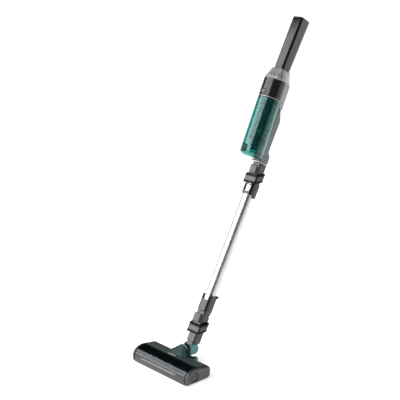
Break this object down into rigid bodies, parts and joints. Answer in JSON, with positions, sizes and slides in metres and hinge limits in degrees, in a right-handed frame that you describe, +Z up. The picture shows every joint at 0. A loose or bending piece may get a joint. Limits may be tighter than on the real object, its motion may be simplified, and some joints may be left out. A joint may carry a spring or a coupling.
{
  "type": "cordless stick vacuum",
  "caption": "Cordless stick vacuum: powered floor head on a two-axis joint, metal wand with two couplings, clear cylindrical bin, motor body and straight battery handle.",
  "frame": {"origin": "on the floor under the middle of the head, just behind the suction slot", "axes": "+X along the head, to the right seen from the front; -Y is the way the head faces; +Z up; the stick leans back towards +Y"},
  "size_m": [0.248, 0.6105, 1.0086],
  "materials": {
    "grey_gloss": "satin dark grey moulded plastic with soft sheen",
    "dark_plastic": "fine-grained near-black moulded plastic",
    "black_gloss": "polished black plastic",
    "deep_teal": "dark green-teal moulded plastic",
    "bright_teal": "bright teal moulded plastic",
    "smoke_clear": "smoked transparent plastic",
    "teal_clear": "transparent teal plastic",
    "silver_plastic": "silver-painted plastic",
    "aluminium": "polished drawn tube",
    "steel": "turned steel",
    "rubber": "matt rubber",
    "bristle": "dense nylon bristle",
    "contact_brass": "plated contacts",
    "filter_media": "pleated filter paper",
    "circuit_board": "green lacquered board",
    "cell_wrap": "shrink-wrapped cells"
  },
  "bodies": {
    "head": {"head_base": "dark_plastic", "rear_deck": "deep_teal", "brush_window": "smoke_clear", "front_bumper": "grey_gloss", "ribbed_insert": "silver_plastic", "end_cap_left": "grey_gloss", "end_cap_right": "grey_gloss", "neck_trim_ring": "silver_plastic", "brush_motor": "steel", "drive_belt": "rubber", "brush_bearing_right": "steel", "rear_axle": "steel"},
    "window_latch": {"window_latch": "silver_plastic"},
    "brush_lock": {"brush_lock": "grey_gloss"},
    "brush_roll": {"brush_core": "bright_teal", "bristle_strip_a": "bristle", "bristle_strip_b": "bristle", "brush_pulley": "dark_plastic"},
    "motor_pulley": {"motor_pulley": "bright_teal"},
    "rear_wheel_left": {"rear_wheel_left": "grey_gloss"},
    "rear_wheel_right": {"rear_wheel_right": "grey_gloss"},
    "front_roller_left": {"front_roller_left": "rubber"},
    "front_roller_right": {"front_roller_right": "rubber"},
    "elbow": {"steering_elbow": "bright_teal", "swivel_collar": "dark_plastic", "recline_pin": "steel"},
    "neck": {"neck_pipe": "grey_gloss"},
    "wand": {"lower_coupling": "grey_gloss", "lower_button_spring": "steel", "wand_sleeve": "dark_plastic", "wand_tube": "aluminium", "wand_top_sleeve": "dark_plastic"},
    "lower_button": {"lower_release_button": "grey_gloss"},
    "handheld": {"upper_coupling": "grey_gloss", "upper_button_spring": "steel", "inlet_plate": "silver_plastic", "rear_body": "grey_gloss", "motor_housing": "black_gloss", "suction_motor": "steel", "motor_mount": "rubber", "vent_shoulder": "silver_plastic", "exhaust_filter": "filter_media", "handle_shell": "black_gloss", "switch_panel": "grey_gloss", "charge_contacts": "contact_brass", "handle_end_cap": "black_gloss", "battery_pack": "cell_wrap", "control_board": "circuit_board"},
    "upper_button": {"upper_release_button": "grey_gloss"},
    "bin": {"dust_bin": "teal_clear", "lid_hinge_pin": "steel", "cyclone_shroud": "dark_plastic", "cyclone_cone": "dark_plastic", "pleated_filter": "filter_media"},
    "bin_lid": {"bin_lid": "teal_clear", "lid_seal": "rubber"},
    "lid_latch": {"lid_latch": "dark_plastic"},
    "bin_button": {"bin_release_button": "grey_gloss"},
    "fan": {"fan": "silver_plastic"},
    "power_switch": {"power_switch": "bright_teal"}
  },
  "joints": [
    {"name": "window_latch_slide", "type": "slide", "parent": "head", "child": "window_latch", "axis": [0, 1, 0], "range_m": [0, 0.003], "stiffness_N_per_m": 300},
    {"name": "brush_lock_turn", "type": "hinge", "parent": "head", "child": "brush_lock", "pos_m": [0.119, -0.014, 0.0213], "axis": [1, 0, 0], "range_deg": [0, 40]},
    {"name": "brush_spin", "type": "hinge", "parent": "head", "child": "brush_roll", "pos_m": [0, -0.014, 0.0213], "axis": [1, 0, 0], "continuous": true},
    {"name": "motor_spin", "type": "hinge", "parent": "head", "child": "motor_pulley", "pos_m": [-0.108, 0.027, 0.02], "axis": [1, 0, 0], "continuous": true},
    {"name": "rear_wheel_left_spin", "type": "hinge", "parent": "head", "child": "rear_wheel_left", "pos_m": [-0.017, 0.084, 0.0105], "axis": [1, 0, 0], "continuous": true},
    {"name": "rear_wheel_right_spin", "type": "hinge", "parent": "head", "child": "rear_wheel_right", "pos_m": [0.017, 0.084, 0.0105], "axis": [1, 0, 0], "continuous": true},
    {"name": "front_roller_left_spin", "type": "hinge", "parent": "head", "child": "front_roller_left", "pos_m": [-0.09, -0.0352, 0.0045], "axis": [1, 0, 0], "continuous": true},
    {"name": "front_roller_right_spin", "type": "hinge", "parent": "head", "child": "front_roller_right", "pos_m": [0.09, -0.0352, 0.0045], "axis": [1, 0, 0], "continuous": true},
    {"name": "steer", "type": "hinge", "parent": "head", "child": "elbow", "pos_m": [0, 0.056, 0.043], "axis": [0, 1, 0], "range_deg": [-40, 40]},
    {"name": "recline", "type": "hinge", "parent": "elbow", "child": "neck", "pos_m": [0, 0.0828, 0.0446], "axis": [1, 0, 0], "range_deg": [-54, 28.9]},
    {"name": "wand_release", "type": "slide", "parent": "neck", "child": "wand", "axis": [0, 0.4833, 0.8755], "range_m": [0, 0.06]},
    {"name": "lower_button_press", "type": "slide", "parent": "wand", "child": "lower_button", "axis": [0, 0.8755, -0.4833], "range_m": [0, 0.0024], "stiffness_N_per_m": 400, "deforming": ["lower_button_spring"]},
    {"name": "handheld_release", "type": "slide", "parent": "wand", "child": "handheld", "axis": [0, 0.4833, 0.8755], "range_m": [0, 0.05]},
    {"name": "upper_button_press", "type": "slide", "parent": "handheld", "child": "upper_button", "axis": [0, 0.8755, -0.4833], "range_m": [0, 0.0024], "stiffness_N_per_m": 400, "deforming": ["upper_button_spring"]},
    {"name": "bin_release", "type": "slide", "parent": "handheld", "child": "bin", "axis": [0, -0.8992, 0.4376], "range_m": [0, 0.09]},
    {"name": "bin_lid_open", "type": "hinge", "parent": "bin", "child": "bin_lid", "pos_m": [0, 0.36776, 0.59091], "axis": [1, 0, 0], "range_deg": [0, 85]},
    {"name": "lid_latch_press", "type": "hinge", "parent": "bin", "child": "lid_latch", "pos_m": [0, 0.30278, 0.63588], "axis": [-1, 0, 0], "range_deg": [0, 8], "stiffness_Nm_per_rad": 0.2},
    {"name": "bin_button_press", "type": "slide", "parent": "handheld", "child": "bin_button", "axis": [0, 0.8992, -0.4376], "range_m": [0, 0.002], "stiffness_N_per_m": 400},
    {"name": "fan_spin", "type": "hinge", "parent": "handheld", "child": "fan", "pos_m": [0, 0.41732, 0.78143], "axis": [0, 0.4376, 0.8992], "continuous": true},
    {"name": "power_switch_slide", "type": "slide", "parent": "handheld", "child": "power_switch", "axis": [0, 0.4985, 0.8669], "range_m": [0, 0.0095]}
  ],
  "couplings": [
    {"joint": "motor_spin", "follows": "brush_spin", "ratio": 2.11},
    {"joint": "bin_lid_open", "follows": "bin_release", "rad_per_m": 16.4}
  ]
}
